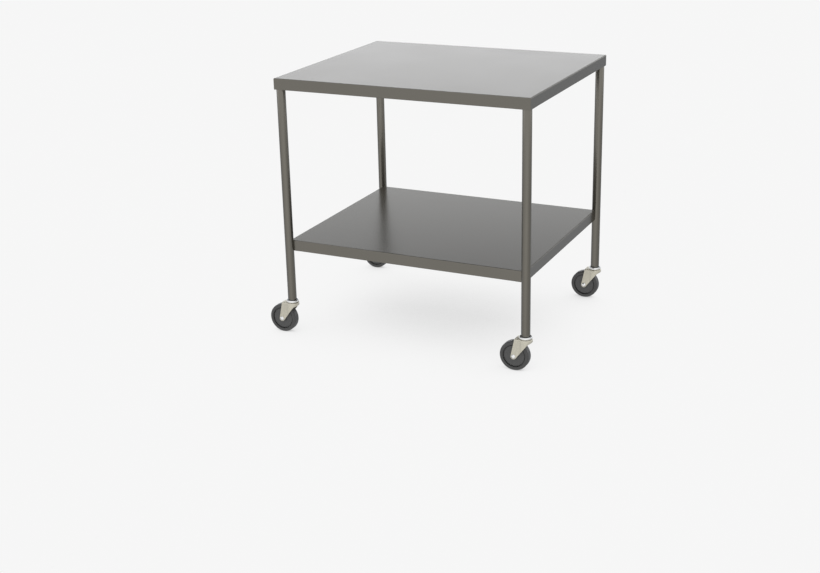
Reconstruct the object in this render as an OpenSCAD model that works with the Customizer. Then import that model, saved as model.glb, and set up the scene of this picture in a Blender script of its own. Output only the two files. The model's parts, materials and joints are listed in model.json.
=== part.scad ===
// Two-shelf instrument cart on four swivel castors.
// Millimetres, +Z up, X along the long side, +Y towards the back, floor at z = 0.

/* [Cart] */
// Length of the top, left to right
top_length = 762; // [560:1:920]
// Depth of the top, front to back
top_depth = 635; // [420:1:740]
// Height of the top surface above the floor
top_height = 764; // [640:1:920]
// Distance from the top surface down to the shelf surface
shelf_drop = 477; // [250:1:480]

/* [Sheet metal] */
// Sheet thickness of the top and the shelf
sheet = 1.5; // [1.2:0.1:2]
// Depth of the turned-down edges
edge_depth = 32; // [26:1:40]
// Outside radius of the bend between a deck and its edges
bend_r = 2.5; // [2.2:0.1:4]
// Height of the hem folded up inside the edges
hem_height = 9; // [6:1:14]
// Distance from a leg's axis to the nearest hem end
hem_gap = 32; // [28:1:60]
// How far the shelf's edges lie inside the leg axes
shelf_inset = 2.5; // [1:0.5:6]

/* [Stiffeners] */
// Width of the hat-section stiffener's raised part
hat_width = 50; // [30:1:90]
// Depth of the hat-section stiffener
hat_depth = 19; // [12:1:20]
// Width of each welding flange
hat_flange = 15; // [10:1:25]
// Sheet thickness of the stiffeners
hat_sheet = 1.2; // [1:0.1:1.6]

/* [Legs] */
// Outside diameter of the leg tube
leg_d = 25.4; // [24:0.1:28]
// Wall thickness of the leg tube
leg_wall = 1.5; // [1.2:0.1:2]
// Gap, filled by the weld, between a leg and the inside of the top's edges
leg_gap = 0.1; // [0.1:0.1:1]
// Side of the corner gusset
gusset_side = 84; // [70:1:120]
// Thickness of the corner gusset
gusset_sheet = 3; // [2:0.5:5]

/* [Castors] */
// Height of the castor, from the floor to the leg's lower end
castor_height = 103; // [98:0.1:120]
// Horizontal distance from the swivel axis to the axle
trail = 30; // [26:1:34]
// Wheel diameter
wheel_d = 85; // [76:1:86]
// Wheel width across the tread
wheel_width = 24; // [22:0.5:24]
// Radius of the rounded shoulders of the tread
shoulder_r = 4.8; // [2:0.1:6]
// Outside width of the fork
fork_width = 32; // [32:1:36]
// Sheet thickness of the fork
fork_sheet = 2.5; // [2:0.1:2.5]
// Radius of the fork crown round the swivel axis
crown_r = 19.5; // [18.5:0.5:24]
// Distance from the swivel axis back to the rear edge of the crown
crown_back = 27; // [22:1:29]
// Radius of the fork's lower ends
fork_end_r = 8; // [7:0.5:9]
// Diameter of the castor's stem
stem_d = 11.1; // [9:0.1:12]
// Diameter of the axle bolt
bolt_d = 7.9; // [6:0.1:8.5]
// Number of balls in the swivel race
ball_count = 12; // [8:1:13]

/* [Hidden] */
$fn = 96;
CORNERS = ["front_left", "front_right", "back_left", "back_right"];
PLATE_PARTS = ["top_panel", "top_stiffener", "shelf_panel", "shelf_stiffener"];
CORNER_PARTS = [
    "leg", "gusset", "socket", "stem", "grip_ring", "raceway_cap", "swivel_balls",
    "fork", "axle_bolt", "axle_nut", "axle_sleeve", "wheel_core", "tyre"
];

// Colours
steel = [0.56, 0.56, 0.53];
tube_steel = [0.46, 0.45, 0.41];
zinc = [0.72, 0.70, 0.64];
bright = [0.9, 0.9, 0.9];
rubber = [0.30, 0.30, 0.30];
nylon = [0.2, 0.2, 0.2];

// How far a cut is carried past the face it opens
past = 1;

// Legs
leg_r = leg_d / 2;
leg_x = top_length / 2 - sheet - leg_gap - leg_r;
leg_y = top_depth / 2 - sheet - leg_gap - leg_r;
leg_top = top_height - sheet - gusset_sheet;
gusset_setback = bend_r - sheet;

// Shelf
shelf_height = top_height - shelf_drop;
shelf_length = 2 * (leg_x - shelf_inset);
shelf_depth = 2 * (leg_y - shelf_inset);

// Swivel: cap above, balls, fork crown below
running = 0.08;
cap_r = 18.3;
cap_height = 5.7;
cap_round = cap_height / 2;
race_gap = 2.1;
crown_top = castor_height - cap_height - race_gap;
boss_r = 15;
boss_height = 0.8;
ball_r = 2.3;
ball_ring_r = 11.5;
ball_z = crown_top + race_gap / 2;
stem_r = stem_d / 2;
stem_head_r = 8;
stem_head_height = 3;
stem_length = 38;
stem_groove_z = castor_height + 28;
stem_tip = 1.5;
ring_height = 1.8;
ring_depth = 0.7;
ring_slit = 1.5;
socket_height = 46;
socket_flange = 1.2;
socket_relief_z = [10, 22, 34];
socket_relief_height = 5;
socket_relief_depth = 1.2;

// Fork: its side view, with x forward of the swivel axis
axle_z = wheel_d / 2;
axle = [-trail, axle_z];
fork_round = 3.5;
lip_front = 8.5;
lip_back = 12.5;
lip_x = sqrt(crown_r * crown_r - fork_width * fork_width / 4);

// Axle
bolt_r = bolt_d / 2;
sleeve_r = 6;
head_r = 6.3;
head_height = 4;
nut_flats = 12.7;
nut_height = 5.2;
collar_r = 5.6;
collar_height = 1.8;
bolt_spare = 1;
fork_inside = fork_width - 2 * fork_sheet;

// Wheel
wheel_r = wheel_d / 2;
tyre_inner_r = 32.4;
web_half = 9;
groove_r = 30.2;
groove_half = 6.5;
hub_r = 11;
hub_side_gap = 0.3;

// The castors trail towards -X, so the cart stands this far forward to be centred on its own box
cart_x = (trail + wheel_r - crown_r) / 2;

// Where the line from p touches the circle of radius r round c; side is 1 or -1
function touch(p, c, r, side) =
    let (
        d = norm(c - p),
        toward = atan2(c[1] - p[1], c[0] - p[0]),
        turn = asin(r / d),
        reach = sqrt(d * d - r * r)
    )
    p + reach * [cos(toward + side * turn), sin(toward + side * turn)];

// Stands its children at one of the four leg axes
module at_corner(i)
    translate([cart_x + (i % 2 == 0 ? -leg_x : leg_x), i < 2 ? -leg_y : leg_y, 0])
        children();

// Turns a piece drawn for the back right corner to face the cart's middle from corner i
module facing_in(i)
    mirror([i % 2 == 0 ? 1 : 0, 0, 0])
        mirror([0, i < 2 ? 1 : 0, 0])
            children();

// Stands its children on the wheel's axle, with their z axis along the axle towards the front
module on_axle()
    translate([-trail, 0, axle_z])
        rotate([90, 0, 0])
            children();

// A rectangle below y = 0 with its two upper corners rounded
module edge_section(width, height, r) {
    translate([-width / 2, -height])
        square([width, height - r]);
    translate([r - width / 2, -height])
        square([width - 2 * r, height]);
    for (side = [-1, 1])
        translate([side * (width / 2 - r), -r])
            circle(r);
}

// A block below z = 0 whose four upper edges are rounded
module tray_block(length, depth, height, r)
    intersection() {
        rotate([90, 0, 0])
            linear_extrude(depth, center = true)
                edge_section(length, height, r);
        rotate([90, 0, 90])
            linear_extrude(length, center = true)
                edge_section(depth, height, r);
    }

// One hem: the edge's lower end folded up against its inner face, drawn along X
module hem(length)
    translate([-length / 2, 0, 0])
        cube([length, sheet, hem_height]);

// A folded deck with four turned-down, hemmed edges; its upper surface is at z = 0
module tray(length, depth) {
    difference() {
        tray_block(length, depth, edge_depth, bend_r);
        translate([0, 0, -sheet])
            tray_block(length - 2 * sheet, depth - 2 * sheet, edge_depth, bend_r - sheet);
    }
    for (side = [0, 180])
        rotate([0, 0, side]) {
            translate([0, sheet - depth / 2, -edge_depth])
                hem(2 * (leg_x - hem_gap));
            rotate([0, 0, 90])
                translate([0, sheet - length / 2, -edge_depth])
                    hem(2 * (leg_y - hem_gap));
        }
}

module top_panel()
    color(steel)
        translate([cart_x, 0, top_height])
            tray(top_length, top_depth);

module shelf_panel()
    color(steel)
        difference() {
            translate([cart_x, 0, shelf_height])
                tray(shelf_length, shelf_depth);
            for (i = [0:3])
                at_corner(i)
                    translate([0, 0, shelf_height - edge_depth - past])
                        cylinder(r = leg_r, h = edge_depth + 2 * past);
        }

// A hat-section channel along X, welded by its flanges to the underside at z = 0
module stiffener(length)
    color(tube_steel)
        rotate([90, 0, 90])
            linear_extrude(length, center = true)
                difference() {
                    union() {
                        translate([-hat_width / 2 - hat_flange, -hat_sheet])
                            square([hat_width + 2 * hat_flange, hat_sheet]);
                        translate([-hat_width / 2, -hat_depth])
                            square([hat_width, hat_depth]);
                    }
                    translate([hat_sheet - hat_width / 2, hat_sheet - hat_depth])
                        square([hat_width - 2 * hat_sheet, hat_depth]);
                }

module top_stiffener()
    translate([cart_x, 0, top_height - sheet])
        stiffener(top_length - 2 * hem_gap);

module shelf_stiffener()
    translate([cart_x, 0, shelf_height - sheet])
        stiffener(shelf_length - 2 * hem_gap);

module leg()
    color(tube_steel)
        translate([0, 0, castor_height + socket_flange])
            difference() {
                cylinder(r = leg_r, h = leg_top - castor_height - socket_flange);
                translate([0, 0, -past])
                    cylinder(r = leg_r - leg_wall, h = leg_top - castor_height + 2 * past);
            }

// A corner plate under the deck that the leg's upper end is welded to
module gusset()
    color(tube_steel)
        translate([leg_r - gusset_setback, leg_r - gusset_setback, leg_top])
            linear_extrude(gusset_sheet)
                polygon([
                    [0, 0],
                    [-gusset_side, 0],
                    [-gusset_side, -leg_d],
                    [-leg_d, -gusset_side],
                    [0, -gusset_side]
                ]);

// The plug pressed into the leg's lower end: a flange below, ribs outside, and a bore for the stem
module socket()
    color(nylon)
        translate([0, 0, castor_height])
            difference() {
                union() {
                    cylinder(r = leg_r - leg_wall, h = socket_height);
                    cylinder(r = leg_r, h = socket_flange);
                }
                translate([0, 0, -past])
                    cylinder(r = stem_r, h = socket_height + 2 * past);
                translate([0, 0, stem_groove_z - castor_height])
                    cylinder(r = stem_r + ring_depth, h = ring_height);
                for (z = socket_relief_z)
                    translate([0, 0, z])
                        difference() {
                            cylinder(r = leg_r, h = socket_relief_height);
                            cylinder(r = leg_r - leg_wall - socket_relief_depth, h = socket_relief_height);
                        }
            }

// The kingpin: riveted head, journal through the crown, and stem up into the leg
module stem() {
    head_z = crown_top - fork_sheet - running - stem_head_height;
    color(zinc)
        difference() {
            union() {
                translate([0, 0, head_z])
                    cylinder(r = stem_head_r, h = stem_head_height);
                translate([0, 0, head_z])
                    cylinder(r = stem_r, h = castor_height + stem_length - stem_tip - head_z);
                translate([0, 0, castor_height + stem_length - stem_tip])
                    cylinder(r1 = stem_r, r2 = stem_r - stem_tip, h = stem_tip);
            }
            translate([0, 0, stem_groove_z])
                difference() {
                    cylinder(r = stem_r + past, h = ring_height);
                    cylinder(r = stem_r - ring_depth, h = ring_height);
                }
        }
}

// The split spring ring that snaps the stem into its socket
module grip_ring()
    color(bright)
        translate([0, 0, stem_groove_z])
            difference() {
                cylinder(r = stem_r + ring_depth, h = ring_height);
                translate([0, 0, -past])
                    cylinder(r = stem_r - ring_depth, h = ring_height + 2 * past);
                translate([0, -ring_slit / 2, -past])
                    cube([leg_r, ring_slit, ring_height + 2 * past]);
            }

// The groove that the swivel balls run in
module ball_groove()
    translate([0, 0, ball_z])
        rotate_extrude()
            translate([ball_ring_r, 0])
                circle(ball_r + running);

// The bright cap between the leg and the fork, with the upper ball race inside it
module raceway_cap()
    color(bright)
        difference() {
            translate([0, 0, castor_height - cap_height])
                rotate_extrude()
                    difference() {
                        union() {
                            square([cap_r, cap_height - cap_round]);
                            square([cap_r - cap_round, cap_height]);
                            translate([cap_r - cap_round, cap_height - cap_round])
                                circle(cap_round);
                        }
                        translate([0, -cap_height])
                            square([stem_r, 3 * cap_height]);
                    }
            ball_groove();
        }

module swivel_balls()
    color(bright)
        for (k = [0:ball_count - 1])
            rotate([0, 0, (k + 0.5) * 360 / ball_count])
                translate([ball_ring_r, 0, ball_z])
                    sphere(ball_r);

// The fork's outline seen from the side
module fork_side()
    union() {
        polygon([
            [-crown_back, crown_top],
            touch([-crown_back, crown_top], axle, fork_end_r, -1),
            axle,
            touch([lip_x, crown_top - lip_back], axle, fork_end_r, 1),
            [lip_x, crown_top - lip_back],
            [crown_r, crown_top - lip_front],
            [crown_r, crown_top]
        ]);
        translate(axle)
            circle(fork_end_r);
    }

// The body of the fork, inset by t from its outer faces: a round crown in front, flat sides behind
module fork_body(t, r)
    translate([0, 0, crown_top - t]) {
        rotate_extrude()
            intersection() {
                edge_section(2 * (crown_r - t), crown_top, r);
                translate([0, -crown_top])
                    square([crown_r, crown_top]);
            }
        rotate([90, 0, -90])
            linear_extrude(2 * crown_top)
                edge_section(fork_width - 2 * t, crown_top, r);
    }

module fork()
    color(zinc)
        difference() {
            union() {
                intersection() {
                    difference() {
                        fork_body(0, fork_round);
                        fork_body(fork_sheet, fork_round - fork_sheet);
                    }
                    rotate([90, 0, 0])
                        linear_extrude(2 * fork_width, center = true)
                            fork_side();
                }
                translate([0, 0, crown_top - fork_sheet])
                    cylinder(r = boss_r, h = fork_sheet + boss_height);
            }
            cylinder(r = stem_r + running, h = 2 * castor_height);
            on_axle()
                cylinder(r = bolt_r, h = 2 * fork_width, center = true);
            ball_groove();
        }

// A domed bolt whose head is at the front of the fork
module axle_bolt()
    color(bright)
        on_axle() {
            dome_r = (head_r * head_r + head_height * head_height) / (2 * head_height);
            shank_end = fork_width / 2 + nut_height + collar_height + bolt_spare;
            translate([0, 0, -shank_end])
                cylinder(r = bolt_r, h = shank_end + fork_width / 2);
            intersection() {
                translate([0, 0, fork_width / 2 + head_height - dome_r])
                    sphere(dome_r);
                translate([0, 0, fork_width / 2])
                    cylinder(r = head_r + past, h = head_height + past);
            }
        }

// A hexagonal lock nut with a round collar, at the back of the fork
module axle_nut()
    color(zinc)
        on_axle()
            translate([0, 0, -fork_width / 2])
                rotate([180, 0, 0])
                    difference() {
                        union() {
                            cylinder(r = nut_flats / sqrt(3), h = nut_height, $fn = 6);
                            cylinder(r = collar_r, h = nut_height + collar_height);
                        }
                        translate([0, 0, -past])
                            cylinder(r = bolt_r, h = nut_height + collar_height + 2 * past);
                    }

// The tube that the fork is clamped on and the wheel turns on
module axle_sleeve()
    color(bright)
        on_axle()
            difference() {
                cylinder(r = sleeve_r, h = fork_inside, center = true);
                cylinder(r = bolt_r, h = fork_inside + 2 * past, center = true);
            }

// The moulded wheel centre: hub, web and rim
module wheel_core()
    color(nylon)
        on_axle()
            rotate_extrude() {
                hub_half = fork_inside / 2 - hub_side_gap;
                translate([sleeve_r + running, -hub_half])
                    square([hub_r - sleeve_r - running, 2 * hub_half]);
                translate([hub_r - past, -web_half])
                    square([groove_r - hub_r + past, 2 * web_half]);
                translate([groove_r - past, -groove_half])
                    square([tyre_inner_r - groove_r + past, 2 * groove_half]);
            }

// The hard rubber tread with rounded shoulders
module tyre()
    color(rubber)
        on_axle()
            rotate_extrude()
                difference() {
                    union() {
                        translate([0, -wheel_width / 2])
                            square([wheel_r - shoulder_r, wheel_width]);
                        translate([0, shoulder_r - wheel_width / 2])
                            square([wheel_r, wheel_width - 2 * shoulder_r]);
                        for (side = [-1, 1])
                            translate([wheel_r - shoulder_r, side * (wheel_width / 2 - shoulder_r)])
                                circle(shoulder_r);
                    }
                    translate([0, -wheel_width])
                        square([tyre_inner_r, 2 * wheel_width]);
                }

for (i = [0:3]) {
    at_corner(i) leg();
    at_corner(i) facing_in(i) gusset();
    at_corner(i) socket();
    at_corner(i) stem();
    at_corner(i) grip_ring();
    at_corner(i) raceway_cap();
    at_corner(i) swivel_balls();
    at_corner(i) fork();
    at_corner(i) axle_bolt();
    at_corner(i) axle_nut();
    at_corner(i) axle_sleeve();
    at_corner(i) wheel_core();
    at_corner(i) tyre();
}
top_panel();
top_stiffener();
shelf_panel();
shelf_stiffener();
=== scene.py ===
"""The looks of a steel instrument cart: folded sheet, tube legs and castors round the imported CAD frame."""

import json
import math

import bmesh
import bpy
from mathutils import Matrix, Vector


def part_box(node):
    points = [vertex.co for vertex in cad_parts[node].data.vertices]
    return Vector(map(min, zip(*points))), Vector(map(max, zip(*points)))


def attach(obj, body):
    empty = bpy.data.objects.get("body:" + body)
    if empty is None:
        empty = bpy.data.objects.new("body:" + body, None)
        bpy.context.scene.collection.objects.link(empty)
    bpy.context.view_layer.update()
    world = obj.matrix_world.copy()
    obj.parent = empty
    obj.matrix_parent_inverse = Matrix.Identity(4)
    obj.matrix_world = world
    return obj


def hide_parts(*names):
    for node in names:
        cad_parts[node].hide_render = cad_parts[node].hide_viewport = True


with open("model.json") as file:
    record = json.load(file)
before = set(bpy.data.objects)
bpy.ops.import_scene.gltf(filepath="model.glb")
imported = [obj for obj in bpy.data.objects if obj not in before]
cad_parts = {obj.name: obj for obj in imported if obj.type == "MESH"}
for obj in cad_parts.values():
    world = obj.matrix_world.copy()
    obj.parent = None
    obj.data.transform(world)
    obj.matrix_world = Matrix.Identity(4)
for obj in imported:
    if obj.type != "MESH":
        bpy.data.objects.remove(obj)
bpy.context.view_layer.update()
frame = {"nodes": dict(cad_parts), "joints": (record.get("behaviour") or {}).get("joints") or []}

nodes = frame["nodes"]
CORNERS = ("front_left", "front_right", "back_left", "back_right")
MM = 0.001
FULL_TURN = 2 * math.pi


# ---------------------------------------------------------------- sizes read from the frame

top_low, top_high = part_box("top_panel")
shelf_low, shelf_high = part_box("shelf_panel")
sheet = top_high.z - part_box("gusset_front_left")[1].z
leg_low, leg_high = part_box("leg_front_left")
leg_r = (leg_high.x - leg_low.x) / 2
joints = {joint["name"]: joint for joint in frame["joints"]}
leg_axis = {c: Vector(joints["swivel_" + c]["pos_m"]) for c in CORNERS}
wheel_centre = {c: Vector(joints["spin_" + c]["pos_m"]) for c in CORNERS}
deck_centre = Vector(((top_low.x + top_high.x) / 2, (top_low.y + top_high.y) / 2, top_high.z))

BEND_R = 2.5 * MM
HEM_HEIGHT = 9 * MM
HEM_GAP = 32 * MM
LEG_WALL = 1.5 * MM
FORK_SHEET = 2.5 * MM
STEM_R = 5.55 * MM
BALL_COUNT = 12
GROOVE_R = 2.38 * MM
# the strip beside a bend that keeps the broad face next to it shading flat
GUARD = 0.4 * MM


# ---------------------------------------------------------------- outlines

def arc(centre, radius, start, end, steps):
    """Points on an arc, angles in degrees."""
    points = []
    for i in range(steps + 1):
        a = math.radians(start + (end - start) * i / steps)
        points.append((centre[0] + radius * math.cos(a), centre[1] + radius * math.sin(a)))
    return points


def rounded(corners, steps=4):
    """A closed outline from (x, y, fillet radius) corners."""
    points = []
    count = len(corners)
    for i, (x, y, radius) in enumerate(corners):
        here = Vector((x, y))
        if radius <= 0:
            points.append((x, y))
            continue
        before = (Vector(corners[i - 1][:2]) - here).normalized()
        after = (Vector(corners[(i + 1) % count][:2]) - here).normalized()
        half = before.angle(after) / 2
        centre = here + (before + after).normalized() * (radius / math.sin(half))
        first = here + before * (radius / math.tan(half)) - centre
        last = here + after * (radius / math.tan(half)) - centre
        for k in range(steps + 1):
            point = centre + first.lerp(last, k / steps).normalized() * radius
            points.append((point.x, point.y))
    return points


# ---------------------------------------------------------------- meshes

def smooth(mesh, angle):
    """Smooth shading but for edges sharper than angle degrees."""
    mesh.polygons.foreach_set("use_smooth", [True] * len(mesh.polygons))
    mesh.set_sharp_from_angle(angle=math.radians(angle))


def add_piece(name, bm, smooth_angle=32):
    """A mesh object in the scene, smooth but for edges sharper than smooth_angle degrees."""
    bmesh.ops.recalc_face_normals(bm, faces=bm.faces)
    mesh = bpy.data.meshes.new(name)
    bm.to_mesh(mesh)
    bm.free()
    smooth(mesh, smooth_angle)
    piece = bpy.data.objects.new(name, mesh)
    bpy.context.scene.collection.objects.link(piece)
    return piece


def ring_of(bm, points):
    return [bm.verts.new(p) for p in points]


def bridge(bm, lower, upper):
    """Quads between two rings of the same length."""
    count = len(lower)
    for i in range(count):
        j = (i + 1) % count
        bm.faces.new((lower[i], lower[j], upper[j], upper[i]))


def lathe_into(bm, profile, place, steps=96):
    """Turns a closed (radius, height) outline round the z axis of the matrix place."""
    rings = []
    for k in range(steps):
        a = FULL_TURN * k / steps
        ring = [place @ Vector((r * math.cos(a), r * math.sin(a), h)) for r, h in profile]
        rings.append(ring_of(bm, ring))
    for k in range(steps):
        bridge(bm, rings[k], rings[(k + 1) % steps])


def lathe_to_axis_into(bm, profile, place, steps=96):
    """Turns an open (radius, height) line, whose ends are on the axis, round the z axis of place."""
    first = bm.verts.new(place @ Vector((0, 0, profile[0][1])))
    last = bm.verts.new(place @ Vector((0, 0, profile[-1][1])))
    rings = []
    for r, h in profile[1:-1]:
        points = []
        for k in range(steps):
            a = FULL_TURN * k / steps
            points.append(place @ Vector((r * math.cos(a), r * math.sin(a), h)))
        rings.append(ring_of(bm, points))
    for k in range(steps):
        j = (k + 1) % steps
        bm.faces.new((first, rings[0][k], rings[0][j]))
        bm.faces.new((last, rings[-1][j], rings[-1][k]))
    for lower, upper in zip(rings, rings[1:]):
        bridge(bm, lower, upper)


def prism_into(bm, outline, low, high, place=Matrix()):
    """A closed prism from a 2D outline, between two heights along place's z axis."""
    bottom = ring_of(bm, [place @ Vector((x, y, low)) for x, y in outline])
    top = ring_of(bm, [place @ Vector((x, y, high)) for x, y in outline])
    bridge(bm, bottom, top)
    bm.faces.new(bottom)
    bm.faces.new(top)


def boolean(piece, cutter, operation):
    """Applies one exact boolean and removes the cutter."""
    step = piece.modifiers.new("cut", "BOOLEAN")
    step.operation = operation
    step.solver = "EXACT"
    step.object = cutter
    apply_modifiers(piece)
    bpy.data.objects.remove(cutter)


def apply_modifiers(piece):
    """Bakes a piece's modifiers into its mesh."""
    graph = bpy.context.evaluated_depsgraph_get()
    baked = bpy.data.meshes.new_from_object(piece.evaluated_get(graph))
    old = piece.data
    piece.modifiers.clear()
    piece.data = baked
    bpy.data.meshes.remove(old)


def soften(piece, width, segments=2, angle=35, smooth_angle=40):
    """Bevels a piece's sharp edges and sets its smooth shading."""
    bm = bmesh.new()
    bm.from_mesh(piece.data)
    bmesh.ops.remove_doubles(bm, verts=bm.verts, dist=0.01 * MM)
    bmesh.ops.dissolve_degenerate(bm, edges=bm.edges, dist=0.01 * MM)
    sharp = [e for e in bm.edges if e.is_manifold and e.calc_face_angle() > math.radians(angle)]
    bmesh.ops.bevel(
        bm, geom=sharp, offset=width, segments=segments, profile=0.5, affect="EDGES", clamp_overlap=True
    )
    bm.to_mesh(piece.data)
    bm.free()
    smooth(piece.data, smooth_angle)


def fit_out(piece, body, slot, material, *replaced):
    """Puts a piece on its body and in its material, in place of the CAD nodes it stands for; slot is not
    used.
    """
    piece.data.materials.clear()
    piece.data.materials.append(material)
    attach(piece, body)
    if replaced:
        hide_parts(*replaced)


# ---------------------------------------------------------------- materials

def new_material(name):
    material = bpy.data.materials.new(name)
    material.use_nodes = True
    tree = material.node_tree
    return material, tree, tree.nodes["Principled BSDF"]


def object_coords(tree, scale=(1, 1, 1)):
    """Object coordinates, stretched along each axis."""
    coords = tree.nodes.new("ShaderNodeTexCoord")
    mapping = tree.nodes.new("ShaderNodeMapping")
    mapping.inputs["Scale"].default_value = scale
    tree.links.new(coords.outputs["Object"], mapping.inputs["Vector"])
    return mapping.outputs["Vector"]


def noise(tree, vector, scale, detail=3):
    node = tree.nodes.new("ShaderNodeTexNoise")
    node.inputs["Scale"].default_value = scale
    node.inputs["Detail"].default_value = detail
    node.inputs["Roughness"].default_value = 0.55
    tree.links.new(vector, node.inputs["Vector"])
    return node.outputs["Fac"]


def remap(tree, value, low, high, from_low=0.3, from_high=0.7):
    """Maps a texture value to a range."""
    node = tree.nodes.new("ShaderNodeMapRange")
    node.inputs["From Min"].default_value = from_low
    node.inputs["From Max"].default_value = from_high
    node.inputs["To Min"].default_value = low
    node.inputs["To Max"].default_value = high
    tree.links.new(value, node.inputs["Value"])
    return node.outputs["Result"]


def add_values(tree, first, second):
    node = tree.nodes.new("ShaderNodeMath")
    node.operation = "ADD"
    tree.links.new(first, node.inputs[0])
    tree.links.new(second, node.inputs[1])
    return node.outputs["Value"]


def blend_colours(tree, fac, first, second):
    """A colour between two, by a texture value."""
    node = tree.nodes.new("ShaderNodeMix")
    node.data_type = "RGBA"
    node.inputs["A"].default_value = (*first, 1)
    node.inputs["B"].default_value = (*second, 1)
    tree.links.new(fac, node.inputs["Factor"])
    return node.outputs["Result"]


def bump(tree, shader, height, strength, distance):
    node = tree.nodes.new("ShaderNodeBump")
    node.inputs["Strength"].default_value = strength
    node.inputs["Distance"].default_value = distance
    tree.links.new(height, node.inputs["Height"])
    tree.links.new(node.outputs["Normal"], shader.inputs["Normal"])


def satin_steel(name, dark, light, grain, rough):
    """Satin-finished stainless: a fine grain along one axis over faint, broad clouding."""
    material, tree, shader = new_material(name)
    link = tree.links.new
    clouds = noise(tree, object_coords(tree), 5.0, detail=2)
    fine = noise(tree, object_coords(tree, grain), 1.0, detail=2)
    shader.inputs["Metallic"].default_value = 1.0
    link(blend_colours(tree, remap(tree, clouds, 0, 1), dark, light), shader.inputs["Base Color"])
    rough_clouds = remap(tree, clouds, rough - 0.008, rough + 0.008)
    rough_grain = remap(tree, fine, -0.015, 0.015)
    link(add_values(tree, rough_clouds, rough_grain), shader.inputs["Roughness"])
    bump(tree, shader, fine, 0.12, 0.02 * MM)
    return material


def zinc_plate():
    """Zinc-plated pressing: pale, warm and dull, with a faint crystalline mottle."""
    material, tree, shader = new_material("zinc_plate")
    link = tree.links.new
    spangle = tree.nodes.new("ShaderNodeTexVoronoi")
    spangle.inputs["Scale"].default_value = 900.0
    link(object_coords(tree), spangle.inputs["Vector"])
    mottle = noise(tree, object_coords(tree), 90.0)
    crystals = remap(tree, spangle.outputs["Distance"], 0, 0.4, 0, 1)
    mixed = add_values(tree, crystals, remap(tree, mottle, 0, 0.6))
    colour = blend_colours(tree, mixed, (0.590, 0.561, 0.471), (0.610, 0.581, 0.488))
    link(colour, shader.inputs["Base Color"])
    shader.inputs["Metallic"].default_value = 0.6
    link(remap(tree, mottle, 0.30, 0.34), shader.inputs["Roughness"])
    bump(tree, shader, mottle, 0.04, 0.03 * MM)
    return material


def bright_plate():
    """Bright nickel plate, faintly uneven."""
    material, tree, shader = new_material("bright_plate")
    clouds = noise(tree, object_coords(tree), 60.0)
    colour = blend_colours(tree, remap(tree, clouds, 0, 1), (0.80, 0.80, 0.79), (0.90, 0.90, 0.90))
    tree.links.new(colour, shader.inputs["Base Color"])
    shader.inputs["Metallic"].default_value = 1.0
    tree.links.new(remap(tree, clouds, 0.10, 0.18), shader.inputs["Roughness"])
    return material


def dark_moulding(name, dark, light, rough, mottle_scale):
    """Hard rubber or moulded plastic: near-black, with scuffs that lift its roughness and colour."""
    material, tree, shader = new_material(name)
    link = tree.links.new
    mottle = noise(tree, object_coords(tree), mottle_scale, detail=4)
    fine = noise(tree, object_coords(tree), mottle_scale * 14, detail=2)
    link(blend_colours(tree, remap(tree, mottle, 0, 1), dark, light), shader.inputs["Base Color"])
    link(remap(tree, mottle, rough - 0.06, rough + 0.06), shader.inputs["Roughness"])
    shader.inputs["Specular IOR Level"].default_value = 0.45
    bump(tree, shader, fine, 0.3, 0.03 * MM)
    return material


SHEET_DARK, SHEET_LIGHT = (0.178, 0.169, 0.150), (0.186, 0.176, 0.156)
TUBE_DARK, TUBE_LIGHT = (0.176, 0.166, 0.145), (0.190, 0.179, 0.157)
sheet_steel = satin_steel("sheet_steel", SHEET_DARK, SHEET_LIGHT, grain=(14, 1500, 1500), rough=0.25)
tube_steel = satin_steel("tube_steel", TUBE_DARK, TUBE_LIGHT, grain=(1100, 1100, 60), rough=0.24)
zinc = zinc_plate()
bright = bright_plate()
hard_rubber = dark_moulding("hard_rubber", (0.054, 0.054, 0.054), (0.063, 0.063, 0.063), 0.40, 60.0)
wheel_plastic = dark_moulding("wheel_plastic", (0.072, 0.072, 0.072), (0.080, 0.080, 0.080), 0.34, 40.0)
nylon = dark_moulding("nylon", (0.020, 0.020, 0.020), (0.035, 0.035, 0.035), 0.6, 50.0)


# ---------------------------------------------------------------- the folded top and shelf

def rounded_rectangle(half_x, half_y, radius, hem_half_x, hem_half_y, steps=4):
    """A loop of (x, y, hemmed): rounded corners, and four points a side where the hem starts and stops."""
    step = 0.6 * MM
    loop = []
    sides = (
        (half_x, half_y, 0, hem_half_x),
        (-half_x, half_y, 90, hem_half_y),
        (-half_x, -half_y, 180, hem_half_x),
        (half_x, -half_y, 270, hem_half_y),
    )
    for x, y, start, hem_half in sides:
        centre = (x - math.copysign(radius, x), y - math.copysign(radius, y))
        bend = arc(centre, radius, start, start + 90, steps)
        cos, sin = math.cos(math.radians(start)), math.sin(math.radians(start))
        before = (bend[0][0] + sin * GUARD, bend[0][1] - cos * GUARD)
        after = (bend[-1][0] - cos * GUARD, bend[-1][1] - sin * GUARD)
        for px, py in (before, *bend, after):
            loop.append((px, py, 0))
        for along, hemmed in ((hem_half + step, 0), (hem_half, 1), (-hem_half, 1), (-hem_half - step, 0)):
            if start == 0:
                loop.append((along, y, hemmed))
            elif start == 90:
                loop.append((x, along, hemmed))
            elif start == 180:
                loop.append((-along, y, hemmed))
            else:
                loop.append((x, -along, hemmed))
    return loop


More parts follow.
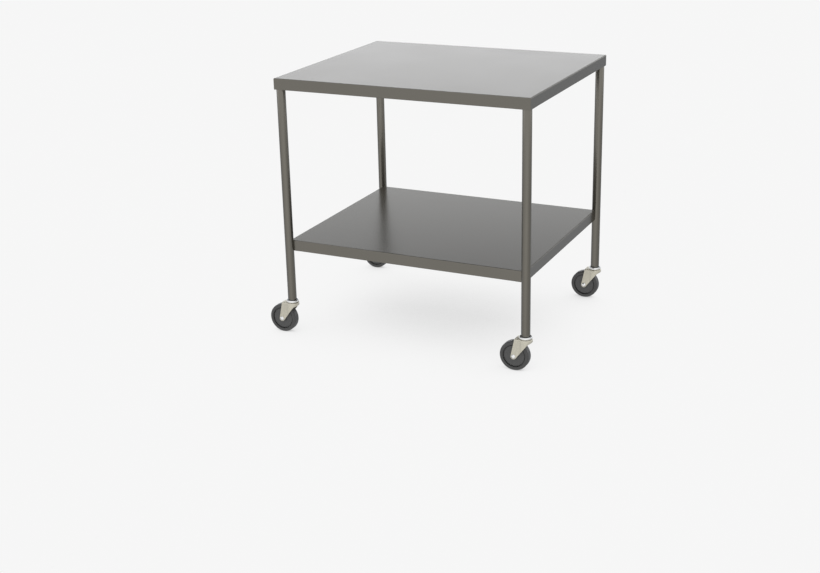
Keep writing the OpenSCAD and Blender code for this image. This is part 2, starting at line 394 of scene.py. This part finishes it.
def tray_into(bm, low, high, corner_r, hem_half_x, hem_half_y):
    """A folded tray: deck, bends, edges and rolled hems, as one closed skin round the sheet."""
    edge = high.z - low.z
    middle = (low + high) / 2
    half_x = (high.x - low.x) / 2
    half_y = (high.y - low.y) / 2
    # each ring is (inset, height) where there's no hem, and the same where there is
    rings = [((BEND_R + GUARD, 0), (BEND_R + GUARD, 0))]
    for d, z in arc((BEND_R, -BEND_R), BEND_R, 90, 180, 6):
        rings.append(((d, z), (d, z)))
    rings.append(((0, -BEND_R - GUARD), (0, -BEND_R - GUARD)))
    rings.append(((0, sheet + GUARD - edge), (0, sheet + GUARD - edge)))
    roll = 8
    for k in range(roll + 1):
        plain = arc((sheet / 2, sheet / 2 - edge), sheet / 2, 180, 360, roll)[k]
        hem = arc((sheet, sheet - edge), sheet, 180, 360, roll)[k]
        rings.append((plain, hem))
    lip = 0.4 * MM
    hem_top = HEM_HEIGHT - edge
    rings.append(((sheet, hem_top - 2 * lip), (2 * sheet, hem_top - lip)))
    rings.append(((sheet, hem_top - lip), (2 * sheet - lip, hem_top)))
    rings.append(((sheet, hem_top), (sheet + 0.05 * MM, hem_top)))
    inner_r = BEND_R - sheet
    rings.append(((sheet, -BEND_R - GUARD), (sheet, -BEND_R - GUARD)))
    for d, z in arc((BEND_R, -BEND_R), inner_r, 180, 90, 4):
        rings.append(((d, z), (d, z)))
    rings.append(((BEND_R + GUARD, -sheet), (BEND_R + GUARD, -sheet)))
    loops = []
    for plain, hem in rings:
        points = []
        for hemmed in (0, 1):
            inset, z = hem if hemmed else plain
            loop = rounded_rectangle(
                half_x - inset, half_y - inset, max(corner_r - inset, 0.15 * MM), hem_half_x, hem_half_y
            )
            points.append([Vector((x, y, z)) for x, y, _ in loop])
            marks = [mark for _, _, mark in loop]
        base = Vector((middle.x, middle.y, high.z))
        loops.append(ring_of(bm, [base + points[mark][i] for i, mark in enumerate(marks)]))
    for outer, inner in zip(loops, loops[1:]):
        bridge(bm, outer, inner)
    bm.faces.new(loops[0])
    bm.faces.new(loops[-1])


TRAY_CORNER_R = 1.2 * MM
TRAY_SMOOTH_ANGLE = 30


def make_tray(name, low, high):
    """The tray whose hems stop short of the legs."""
    middle = (low + high) / 2
    leg = leg_axis["back_right"]
    bm = bmesh.new()
    tray_into(bm, low, high, TRAY_CORNER_R, leg.x - middle.x - HEM_GAP, leg.y - HEM_GAP)
    return add_piece(name, bm, TRAY_SMOOTH_ANGLE)


top_sheet = make_tray("top_sheet", top_low, top_high)
fit_out(top_sheet, "frame", "sheet_steel", sheet_steel, "top_panel")

shelf_sheet = make_tray("shelf_sheet", shelf_low, shelf_high)
notches = bmesh.new()
for corner in CORNERS:
    notch = arc((leg_axis[corner].x, leg_axis[corner].y), leg_r, 0, 360, 96)[:-1]
    prism_into(notches, notch, shelf_low.z - 5 * MM, shelf_high.z + 5 * MM)
boolean(shelf_sheet, add_piece("notches", notches), "DIFFERENCE")
smooth(shelf_sheet.data, TRAY_SMOOTH_ANGLE)
fit_out(shelf_sheet, "frame", "sheet_steel", sheet_steel, "shelf_panel")


# ---------------------------------------------------------------- stiffeners and gussets

def hat_outline(width, depth, flange, thick):
    """The bent section of a hat channel, flanges up at y = 0."""
    bend = 2.2 * thick
    inner = bend - thick
    half = width / 2
    return rounded([
        (-half - flange, 0, 0), (-half - flange, -thick, 0), (-half, -thick, inner), (-half, -depth, bend),
        (half, -depth, bend), (half, -thick, inner), (half + flange, -thick, 0), (half + flange, 0, 0),
        (half - thick, 0, bend), (half - thick, thick - depth, inner),
        (thick - half, thick - depth, inner), (thick - half, 0, bend),
    ])


HAT_SHEET = 1.2 * MM
HAT_FLANGE = 15 * MM


def make_hat(name, node):
    """A hat-section stiffener along X, where its CAD node is."""
    low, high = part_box(node)
    outline = hat_outline(high.y - low.y - 2 * HAT_FLANGE, high.z - low.z, HAT_FLANGE, HAT_SHEET)
    place = Matrix.Translation((0, (low.y + high.y) / 2, high.z)) @ Matrix(
        ((0, 0, 1, 0), (1, 0, 0, 0), (0, 1, 0, 0), (0, 0, 0, 1))
    )
    bm = bmesh.new()
    prism_into(bm, outline, low.x, high.x, place)
    fit_out(add_piece(name, bm), "frame", "tube_steel", tube_steel, node)


make_hat("top_hat", "top_stiffener")
make_hat("shelf_hat", "shelf_stiffener")


def make_gusset(corner):
    """A corner plate with eased corners and edges."""
    node = "gusset_" + corner
    low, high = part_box(node)
    ease = 0.5 * MM
    side = high.x - low.x
    cut = 2 * leg_r
    flip_x = 1 if leg_axis[corner].x > deck_centre.x else -1
    flip_y = 1 if leg_axis[corner].y > deck_centre.y else -1
    outer = Vector((high.x if flip_x > 0 else low.x, high.y if flip_y > 0 else low.y, 0))
    outline = rounded([
        (0, 0, 2 * MM), (-side, 0, 3 * MM), (-side, -cut, 6 * MM), (-cut, -side, 6 * MM), (0, -side, 3 * MM)
    ])
    place = Matrix.Translation(outer) @ Matrix.Diagonal((flip_x, flip_y, 1, 1))
    bm = bmesh.new()
    prism_into(bm, outline, low.z, high.z, place)
    rims = [e for e in bm.edges if e.calc_face_angle() > math.radians(60)]
    bmesh.ops.bevel(bm, geom=rims, offset=ease, segments=2, profile=0.5, affect="EDGES")
    fit_out(add_piece("gusset_plate_" + corner, bm), "frame", "tube_steel", tube_steel, node)


# ---------------------------------------------------------------- legs and their welds

def make_leg(corner):
    """A tube with eased ends."""
    node = "leg_" + corner
    low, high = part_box(node)
    ease = 0.35 * MM
    bore = leg_r - LEG_WALL
    outline = rounded([
        (leg_r, low.z, ease), (leg_r, high.z, ease), (bore, high.z, ease), (bore, low.z, ease)
    ], steps=2)
    axis = leg_axis[corner]
    bm = bmesh.new()
    lathe_into(bm, outline, Matrix.Translation((axis.x, axis.y, 0)))
    fit_out(add_piece("leg_tube_" + corner, bm), "frame", "tube_steel", tube_steel, node)


def bead_into(bm, path, radius, ripple, sides=8):
    """A weld bead: a fat line along a path, rippled once every ripple metres and closed at both ends."""
    rings = []
    travelled = 0.0
    for i, point in enumerate(path):
        ahead = path[min(i + 1, len(path) - 1)]
        behind = path[max(i - 1, 0)]
        if i:
            travelled += (point - path[i - 1]).length
        along = (ahead - behind).normalized()
        across = along.orthogonal().normalized()
        third = along.cross(across)
        swell = 0.84 + 0.16 * abs(math.sin(math.pi * travelled / ripple))
        taper = min(1.0, 0.35 + 0.65 * min(i, len(path) - 1 - i) / 3)
        ring = []
        for k in range(sides):
            a = FULL_TURN * k / sides
            offset = across * math.cos(a) + third * math.sin(a)
            ring.append(point + offset * radius * swell * taper)
        rings.append(ring_of(bm, ring))
    for lower, upper in zip(rings, rings[1:]):
        bridge(bm, lower, upper)
    bm.faces.new(rings[0])
    bm.faces.new(rings[-1])


def make_welds():
    """The beads that join the legs to the shelf and to the gussets."""
    ripple = 1.6 * MM
    bm = bmesh.new()
    for corner in CORNERS:
        axis = leg_axis[corner]
        inward_x = 1 if axis.x < deck_centre.x else -1
        inward_y = 1 if axis.y < deck_centre.y else -1
        inset = leg_axis["back_right"].y - shelf_high.y
        reach = math.degrees(math.asin(inset / leg_r))
        deck_path = []
        for x, y in arc((0, 0), leg_r + 0.2 * MM, reach + 2, 88 - reach, 60):
            deck_path.append(Vector((axis.x + inward_x * x, axis.y + inward_y * y, shelf_high.z)))
        bead_into(bm, deck_path, 1.1 * MM, ripple)
        gusset_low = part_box("gusset_" + corner)[0].z
        ring = []
        for x, y in arc((axis.x, axis.y), leg_r + 0.3 * MM, 0, 352, 120):
            ring.append(Vector((x, y, gusset_low)))
        bead_into(bm, ring, 1.3 * MM, ripple)
    fit_out(add_piece("weld_beads", bm), "frame", "tube_steel", tube_steel)


# ---------------------------------------------------------------- castors

def on_axle(corner):
    """A frame at the wheel's centre whose z axis points along the axle, towards the front."""
    return Matrix.Translation(wheel_centre[corner]) @ Matrix.Rotation(math.pi / 2, 4, "X")


def ball_race(corner):
    """The height of the swivel balls' centres, and the radius of the ring that they run on."""
    low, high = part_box("swivel_balls_" + corner)
    half_pitch = math.pi / BALL_COUNT
    ball_r = (high.z - low.z) / 2
    return (low.z + high.z) / 2, ((high.x - low.x) / 2 - ball_r) / math.cos(half_pitch)


def make_cap(corner):
    """The bright cap under the leg, with a full round upper edge and the ball groove in its underside."""
    low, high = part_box("raceway_cap_" + corner)
    radius = (high.x - low.x) / 2
    ball_z, ball_ring = ball_race(corner)
    tilt = math.degrees(math.asin((low.z - ball_z) / GROOVE_R))
    race = [(r, z, 0) for r, z in arc((ball_ring, ball_z), GROOVE_R, 180 - tilt, tilt, 10)]
    outline = rounded([
        (STEM_R, low.z, 0), *race, (radius, low.z, 0.6 * MM), (radius, high.z, (high.z - low.z) / 2),
        (STEM_R, high.z, 0.1 * MM),
    ], steps=8)
    axis = leg_axis[corner]
    bm = bmesh.new()
    lathe_into(bm, outline, Matrix.Translation((axis.x, axis.y, 0)))
    fit_out(add_piece("race_cap_" + corner, bm), "frame", "bright_plate", bright, "raceway_cap_" + corner)


def make_tyre(corner):
    """The hard rubber tread: rounded shoulders, a moulded rim ring and a rounded inner lip."""
    low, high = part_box("tyre_" + corner)
    radius = (high.z - low.z) / 2
    half = (high.y - low.y) / 2
    core_low, core_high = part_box("wheel_core_" + corner)
    inner = (core_high.z - core_low.z) / 2
    shoulder = 4.8 * MM
    lip = 1.3 * MM
    outline = rounded([
        (inner, -half, lip), (radius, -half, shoulder), (radius, half, shoulder), (inner, half, lip)
    ], steps=10)
    bm = bmesh.new()
    lathe_into(bm, outline, on_axle(corner), steps=128)
    piece = add_piece("tread_" + corner, bm)
    fit_out(piece, "wheel_" + corner, "hard_rubber", hard_rubber, "tyre_" + corner)


def make_core(corner):
    """The moulded wheel centre: hub, dished web, and the groove inside the rim."""
    low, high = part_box("wheel_core_" + corner)
    radius = (high.z - low.z) / 2
    hub_half = (high.y - low.y) / 2
    sleeve_low, sleeve_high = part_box("axle_sleeve_" + corner)
    bore = (sleeve_high.z - sleeve_low.z) / 2 + 0.08 * MM
    hub_r = 11 * MM
    web_half = 9 * MM
    groove_r = 30.2 * MM
    groove_half = 6.5 * MM
    side = [
        (bore, hub_half, 0.4 * MM), (hub_r, hub_half, 1.0 * MM), (hub_r + 0.8 * MM, web_half, 1.5 * MM),
        (groove_r, web_half, 1.2 * MM), (groove_r, groove_half, 0), (radius, groove_half, 0),
    ]
    other = [(r, -h, fillet) for r, h, fillet in reversed(side)]
    bm = bmesh.new()
    lathe_into(bm, rounded(side + other, steps=6), on_axle(corner), steps=128)
    piece = add_piece("wheel_centre_" + corner, bm)
    fit_out(piece, "wheel_" + corner, "wheel_plastic", wheel_plastic, "wheel_core_" + corner)


def fork_half(corner):
    """Half the fork's outside width: half the sleeve that its legs clamp, and one leg's sheet."""
    low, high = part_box("axle_sleeve_" + corner)
    return (high.y - low.y) / 2 + FORK_SHEET


def make_bolt(corner):
    """The axle bolt: domed head in front, shank through the fork, eased end past the nut."""
    low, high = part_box("axle_bolt_" + corner)
    centre_y = wheel_centre[corner].y
    head_base = fork_half(corner)
    head_top = centre_y - low.y
    tail = centre_y - high.y
    head_r = (high.x - low.x) / 2
    shank_r = 3.95 * MM
    dome = (head_r * head_r + (head_top - head_base) ** 2) / (2 * (head_top - head_base))
    rise = math.degrees(math.asin(head_r / dome))
    profile = [(0, tail), (shank_r - 0.8 * MM, tail), (shank_r, tail + 0.8 * MM), (shank_r, head_base)]
    profile += [(head_r - 0.3 * MM, head_base), (head_r, head_base + 0.25 * MM)]
    steps = 14
    for i in range(1, steps):
        a = math.radians(rise * (1 - i / steps))
        profile.append((dome * math.sin(a), head_top - dome + dome * math.cos(a)))
    profile.append((0, head_top))
    bm = bmesh.new()
    lathe_to_axis_into(bm, profile, on_axle(corner), steps=64)
    piece = add_piece("bolt_" + corner, bm)
    fit_out(piece, "fork_" + corner, "bright_plate", bright, "axle_bolt_" + corner)


def make_nut(corner):
    """The lock nut: a chamfered hexagon and its round collar."""
    low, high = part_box("axle_nut_" + corner)
    flats = high.z - low.z
    bore = 3.97 * MM
    collar_r, collar_height = 5.6 * MM, 1.8 * MM
    hex_height = high.y - low.y - collar_height
    centre = wheel_centre[corner]
    place = Matrix.Translation((centre.x, low.y, centre.z)) @ Matrix.Rotation(-math.pi / 2, 4, "X")
    point_r = flats / math.sqrt(3)
    bm = bmesh.new()
    prism_into(bm, arc((0, 0), point_r, 0, 300, 5), 0, hex_height, place)
    nut = add_piece("nut_" + corner, bm)
    blank = bmesh.new()
    chamfer = 0.9 * MM
    corner_r = point_r + 0.2 * MM
    lathe_into(blank, [
        (bore, 0), (corner_r - chamfer, 0), (corner_r, chamfer), (corner_r, hex_height - chamfer),
        (corner_r - 1.6 * chamfer, hex_height), (bore, hex_height)
    ], place, steps=96)
    boolean(nut, add_piece("blank", blank), "INTERSECT")
    collar = bmesh.new()
    lathe_into(collar, rounded([
        (bore, hex_height - 0.2 * MM, 0), (collar_r, hex_height - 0.2 * MM, 0),
        (collar_r, hex_height + collar_height, 0.9 * MM), (bore, hex_height + collar_height, 0.3 * MM)
    ], steps=5), place, steps=64)
    boolean(nut, add_piece("collar", collar), "UNION")
    soften(nut, 0.12 * MM, segments=1, angle=50, smooth_angle=35)
    fit_out(nut, "fork_" + corner, "zinc_plate", zinc, "axle_nut_" + corner)


def fork_block(name, sizes, inset, edge_r):
    """The fork's body, inset from its outer faces: a round crown, flat sides and rolled upper edges."""
    half, crown_r, crown_top, axis, back = sizes
    half -= inset
    radius = crown_r - inset
    top = crown_top - inset
    floor = -10 * MM
    # plan outline at a given inset: along one side, round the crown, and back along the other side
    def plan(d, z):
        h, r = half - d, radius - d
        start = 180 - math.degrees(math.asin(h / r))
        points = [(back, -h)] + arc((0, 0), r, -start, start, 96) + [(back, h)]
        return [Vector((axis.x + x, axis.y + y, z)) for x, y in points]
    bm = bmesh.new()
    loops = [ring_of(bm, plan(0, floor))]
    for d, z in arc((edge_r, top - edge_r), edge_r, 180, 90, 6):
        loops.append(ring_of(bm, plan(d, z)))
    for lower, upper in zip(loops, loops[1:]):
        bridge(bm, lower, upper)
    bm.faces.new(loops[0])
    bm.faces.new(loops[-1])
    return add_piece(name, bm)


def touch(point, centre, radius, side):
    """Where the line from a point touches a circle; side is 1 or -1."""
    toward = centre - point
    turn = math.asin(radius / toward.length)
    reach = math.sqrt(toward.length_squared - radius * radius)
    angle = math.atan2(toward.y, toward.x) + side * turn
    return point + reach * Vector((math.cos(angle), math.sin(angle)))


def make_fork(corner):
    """One pressed sheet: crown, rounded nose, and two legs swept back to the axle."""
    low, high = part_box("fork_" + corner)
    axis, axle = leg_axis[corner], wheel_centre[corner]
    thick = FORK_SHEET
    boss_r, boss_height = 15 * MM, 0.8 * MM
    crown_top = high.z - boss_height
    half = fork_half(corner)
    crown_r = high.x - axis.x
    crown_back, sides_back = -27 * MM, -60 * MM
    side_drop, nose_drop, cutter_drop = 12.5 * MM, 8.5 * MM, 6.5 * MM
    spare = 5 * MM
    end_r = axle.z - low.z
    hub = Vector((axle.x - axis.x, axle.z))
    sizes = (half, crown_r, crown_top, axis, sides_back)
    fork = fork_block("yoke_" + corner, sizes, 0, 3.5 * MM)
    boolean(fork, fork_block("inside", sizes, thick, 1.0 * MM), "DIFFERENCE")

    # the side outline that the fork is cut to, which passes the crown by the spare above and in front
    rear = Vector((crown_back, crown_top + spare))
    rear_touch = touch(Vector((crown_back, crown_top)), hub, end_r, -1)
    lip = Vector((math.sqrt(crown_r ** 2 - half ** 2), crown_top - side_drop))
    lip_touch = touch(lip, hub, end_r, 1)
    start = math.degrees(math.atan2(rear_touch.y - hub.y, rear_touch.x - hub.x)) % 360
    end = math.degrees(math.atan2(lip_touch.y - hub.y, lip_touch.x - hub.x)) % 360
    outline = [tuple(rear), (crown_back, crown_top)]
    outline += arc(hub, end_r, start, end, 24)
    outline += [tuple(lip), (crown_r, crown_top - nose_drop)]
    outline += [(crown_r + spare, crown_top - cutter_drop), (crown_r + spare, crown_top + spare)]
    bm = bmesh.new()
    place = Matrix.Translation((axis.x, axis.y, 0)) @ Matrix.Rotation(math.pi / 2, 4, "X")
    prism_into(bm, outline, -2 * half, 2 * half, place)
    boolean(fork, add_piece("side", bm), "INTERSECT")

    bm = bmesh.new()
    upright = Matrix.Translation((axis.x, axis.y, 0))
    boss_line = [(0, crown_top - thick / 2), (boss_r, crown_top - thick / 2)]
    boss_line += [(boss_r, crown_top + boss_height - 0.3 * MM), (boss_r - 0.3 * MM, crown_top + boss_height)]
    lathe_to_axis_into(bm, boss_line + [(0, crown_top + boss_height)], upright, steps=64)
    boolean(fork, add_piece("boss", bm), "UNION")

    bm = bmesh.new()
    ball_z, ball_ring = ball_race(corner)
    lathe_into(bm, arc((ball_ring, ball_z), GROOVE_R, 0, 360, 24)[:-1], upright, steps=64)
    boolean(fork, add_piece("race", bm), "DIFFERENCE")
    bm = bmesh.new()
    pin_r = STEM_R + 0.1 * MM
    lathe_to_axis_into(bm, [(0, 0), (pin_r, 0), (pin_r, 1), (0, 1)], upright, steps=64)
    boolean(fork, add_piece("pin_hole", bm), "DIFFERENCE")
    bm = bmesh.new()
    bolt_r = 3.97 * MM
    lathe_to_axis_into(bm, [(0, -0.1), (bolt_r, -0.1), (bolt_r, 0.1), (0, 0.1)], on_axle(corner), steps=48)
    boolean(fork, add_piece("axle_hole", bm), "DIFFERENCE")
    soften(fork, 0.35 * MM)
    fit_out(fork, "fork_" + corner, "zinc_plate", zinc, "fork_" + corner)


for corner in CORNERS:
    make_gusset(corner)
    make_leg(corner)
    make_cap(corner)
    make_tyre(corner)
    make_core(corner)
    make_bolt(corner)
    make_nut(corner)
    make_fork(corner)
    for part, finish in (
        ("socket", nylon), ("stem", zinc), ("grip_ring", bright), ("swivel_balls", bright),
        ("axle_sleeve", bright),
    ):
        for material_slot in nodes[f"{part}_{corner}"].material_slots:
            material_slot.material = finish
make_welds()


# ---------------------------------------------------------------- floor, light and camera

# azimuth, elevation and roll, in degrees
CAMERA_ANGLES = (25.979, 19.081, -1.341)
CAMERA_LENS = 56.897
CAMERA_SHIFT = -0.04
CAMERA_PLACE = Vector((1.5146, -3.3649, 0.7090))
FLOOR_R = 60
FLOOR = (0.921, 0.921, 0.921)
# how far from the cart the shade painted into the floor's glow reaches, how closely it gathers, and how dark
# it gets
PAINTED_SHADE_REACH = 0.45
PAINTED_SHADE_GATHER = 3.0
PAINTED_SHADE_DARK = 0.25
BACKDROP = (0.921, 0.921, 0.921)
# what reflections see, as stops of a place on the ramp and a colour: the ABOVE ramps run from the horizon up,
# and the BELOW ramps from the back towards FRONT
FRONT = (0.438, -0.899, 0)
RIGHT = (0.899, 0.438, 0)
BEHIND_ABOVE = (
    (0.00, (1.80, 1.82, 1.86)), (0.14, (1.72, 1.74, 1.78)), (0.22, (1.40, 1.42, 1.46)),
    (0.29, (0.89, 0.91, 0.94)), (0.32, (0.68, 0.70, 0.72)), (0.36, (0.27, 0.28, 0.30)),
    (0.50, (0.27, 0.28, 0.30)), (0.70, (0.56, 0.57, 0.59)), (1.00, (0.94, 0.95, 0.96)),
)
FRONT_ABOVE = (
    (0.00, (1.00, 1.00, 1.00)), (0.60, (1.00, 1.00, 1.00)), (0.85, (0.97, 0.98, 0.99)),
    (1.00, (0.94, 0.95, 0.96)),
)
BELOW = (
    (0.00, (0.75, 0.76, 0.77)), (0.04, (0.55, 0.56, 0.58)), (0.08, (0.30, 0.31, 0.33)),
    (0.19, (0.52, 0.54, 0.57)), (0.50, (0.70, 0.70, 0.70)), (0.80, (0.88, 0.88, 0.87)),
    (1.00, (1.00, 1.00, 0.99)),
)
BELOW_RIGHT = (
    (0.00, (0.75, 0.76, 0.77)), (0.04, (0.55, 0.56, 0.58)), (0.08, (0.30, 0.31, 0.33)),
    (0.20, (0.55, 0.57, 0.60)), (0.42, (0.545, 0.555, 0.55)), (0.66, (0.60, 0.60, 0.60)),
    (0.87, (0.75, 0.75, 0.74)), (1.00, (1.00, 1.00, 0.99)),
)
# what matt surfaces are lit by
OVERHEAD = ((0.00, (0.45, 0.45, 0.45)), (0.50, (0.80, 0.80, 0.80)), (1.00, (1.50, 1.50, 1.50)))


def scaled(tree, colour, factor):
    """A colour times a number."""
    node = tree.nodes.new("ShaderNodeVectorMath")
    node.operation = "SCALE"
    node.inputs["Scale"].default_value = factor
    tree.links.new(colour, node.inputs[0])
    return node.outputs["Vector"]


def ramp(tree, value, stops):
    """A colour ramp from (position, colour) stops."""
    node = tree.nodes.new("ShaderNodeValToRGB")
    node.color_ramp.interpolation = "EASE"
    elements = node.color_ramp.elements
    for _ in range(len(stops) - len(elements)):
        elements.new(0.5)
    for element, (position, colour) in zip(elements, stops):
        element.position = position
        element.color = (*colour, 1)
    tree.links.new(value, node.inputs["Fac"])
    return node.outputs["Color"]


def mix_colours(tree, fac, first, second):
    node = tree.nodes.new("ShaderNodeMix")
    node.data_type = "RGBA"
    tree.links.new(fac, node.inputs["Factor"])
    tree.links.new(first, node.inputs["A"])
    tree.links.new(second, node.inputs["B"])
    return node.outputs["Result"]


def facing(tree, direction, axis):
    """How far a direction points along an axis, from -1 to 1."""
    toward = tree.nodes.new("ShaderNodeVectorMath")
    toward.operation = "DOT_PRODUCT"
    toward.inputs[1].default_value = axis
    tree.links.new(direction, toward.inputs[0])
    return toward.outputs["Value"]


def make_floor():
    """A plain pale floor that glows evenly instead of taking light, but for a soft shade painted into its
    glow close under the cart.
    """
    material, tree, shader = new_material("studio_floor")
    link = tree.links.new
    # painted shade: an ambient occlusion node darkens the floor's glow colour where the cart is near
    shade = tree.nodes.new("ShaderNodeAmbientOcclusion")
    shade.samples = 12
    shade.inputs["Distance"].default_value = PAINTED_SHADE_REACH
    faint = noise(tree, object_coords(tree), 0.6, detail=2)
    open_floor = blend_colours(tree, faint, FLOOR, [channel * 1.006 for channel in FLOOR])
    covered = remap(tree, shade.outputs["AO"], 1, 0, 0, 1)
    gathered = tree.nodes.new("ShaderNodeMath")
    gathered.operation = "POWER"
    gathered.inputs[1].default_value = PAINTED_SHADE_GATHER
    link(covered, gathered.inputs[0])
    shaded = mix_colours(tree, gathered.outputs["Value"], open_floor, scaled(tree, open_floor, PAINTED_SHADE_DARK))
    shader.inputs["Base Color"].default_value = (0, 0, 0, 1)
    shader.inputs["Roughness"].default_value = 1.0
    shader.inputs["Specular IOR Level"].default_value = 0.0
    link(shaded, shader.inputs["Emission Color"])
    shader.inputs["Emission Strength"].default_value = 1.0
    bm = bmesh.new()
    bmesh.ops.create_circle(bm, cap_ends=True, cap_tris=False, segments=64, radius=FLOOR_R)
    floor = add_piece("floor", bm)
    floor.data.materials.append(material)
    floor.visible_glossy = False


def make_world():
    """A studio: reflections see a bright front and a horizon that fades, and matt surfaces a lit ceiling."""
    world = bpy.data.worlds.new("studio")
    bpy.context.scene.world = world
    world.use_nodes = True
    tree = world.node_tree
    tree.nodes.clear()
    link = tree.links.new
    coords = tree.nodes.new("ShaderNodeTexCoord")
    direction = coords.outputs["Generated"]
    axes = tree.nodes.new("ShaderNodeSeparateXYZ")
    link(direction, axes.inputs["Vector"])
    frontness = facing(tree, direction, FRONT)
    height = axes.outputs["Z"]

    behind_above = ramp(tree, height, BEHIND_ABOVE)
    front_above = ramp(tree, height, FRONT_ABOVE)
    above = mix_colours(tree, remap(tree, frontness, 0, 1, -0.2, 0.5), behind_above, front_above)
    rightness = facing(tree, direction, RIGHT)
    below = mix_colours(
        tree, remap(tree, rightness, 0, 1, -0.05, 0.12),
        ramp(tree, remap(tree, frontness, 0, 1, -1, 1), BELOW),
        ramp(tree, remap(tree, frontness, 0, 1, -1, 1), BELOW_RIGHT),
    )
    reflected = mix_colours(tree, remap(tree, height, 0, 1, -0.05, 0.05), below, above)
    overhead = ramp(tree, height, OVERHEAD)
    path = tree.nodes.new("ShaderNodeLightPath")
    light = tree.nodes.new("ShaderNodeBackground")
    link(mix_colours(tree, path.outputs["Is Diffuse Ray"], reflected, overhead), light.inputs["Color"])
    seen = tree.nodes.new("ShaderNodeBackground")
    seen.inputs["Color"].default_value = (*BACKDROP, 1)
    mix = tree.nodes.new("ShaderNodeMixShader")
    link(path.outputs["Is Camera Ray"], mix.inputs["Fac"])
    link(light.outputs["Background"], mix.inputs[1])
    link(seen.outputs["Background"], mix.inputs[2])
    out = tree.nodes.new("ShaderNodeOutputWorld")
    link(mix.outputs["Shader"], out.inputs["Surface"])


def make_camera():
    """The camera, placed from the middle of the top's upper surface."""
    azimuth, elevation, roll = (math.radians(a) for a in CAMERA_ANGLES)
    data = bpy.data.cameras.new("camera")
    data.sensor_width = 36
    data.lens = CAMERA_LENS
    data.shift_y = CAMERA_SHIFT
    data.clip_end = 200
    camera = bpy.data.objects.new("camera", data)
    back = Vector((
        math.sin(azimuth) * math.cos(elevation), -math.cos(azimuth) * math.cos(elevation), math.sin(elevation)
    ))
    right = Vector((math.cos(azimuth), math.sin(azimuth), 0))
    up = back.cross(right)
    rolled_right = right * math.cos(roll) + up * math.sin(roll)
    rolled_up = up * math.cos(roll) - right * math.sin(roll)
    turn = Matrix((rolled_right, rolled_up, back)).transposed()
    camera.matrix_world = Matrix.Translation(deck_centre + CAMERA_PLACE) @ turn.to_4x4()
    bpy.context.scene.collection.objects.link(camera)
    bpy.context.scene.camera = camera


make_camera()
make_floor()
make_world()
bpy.context.scene.view_settings.view_transform = "Standard"
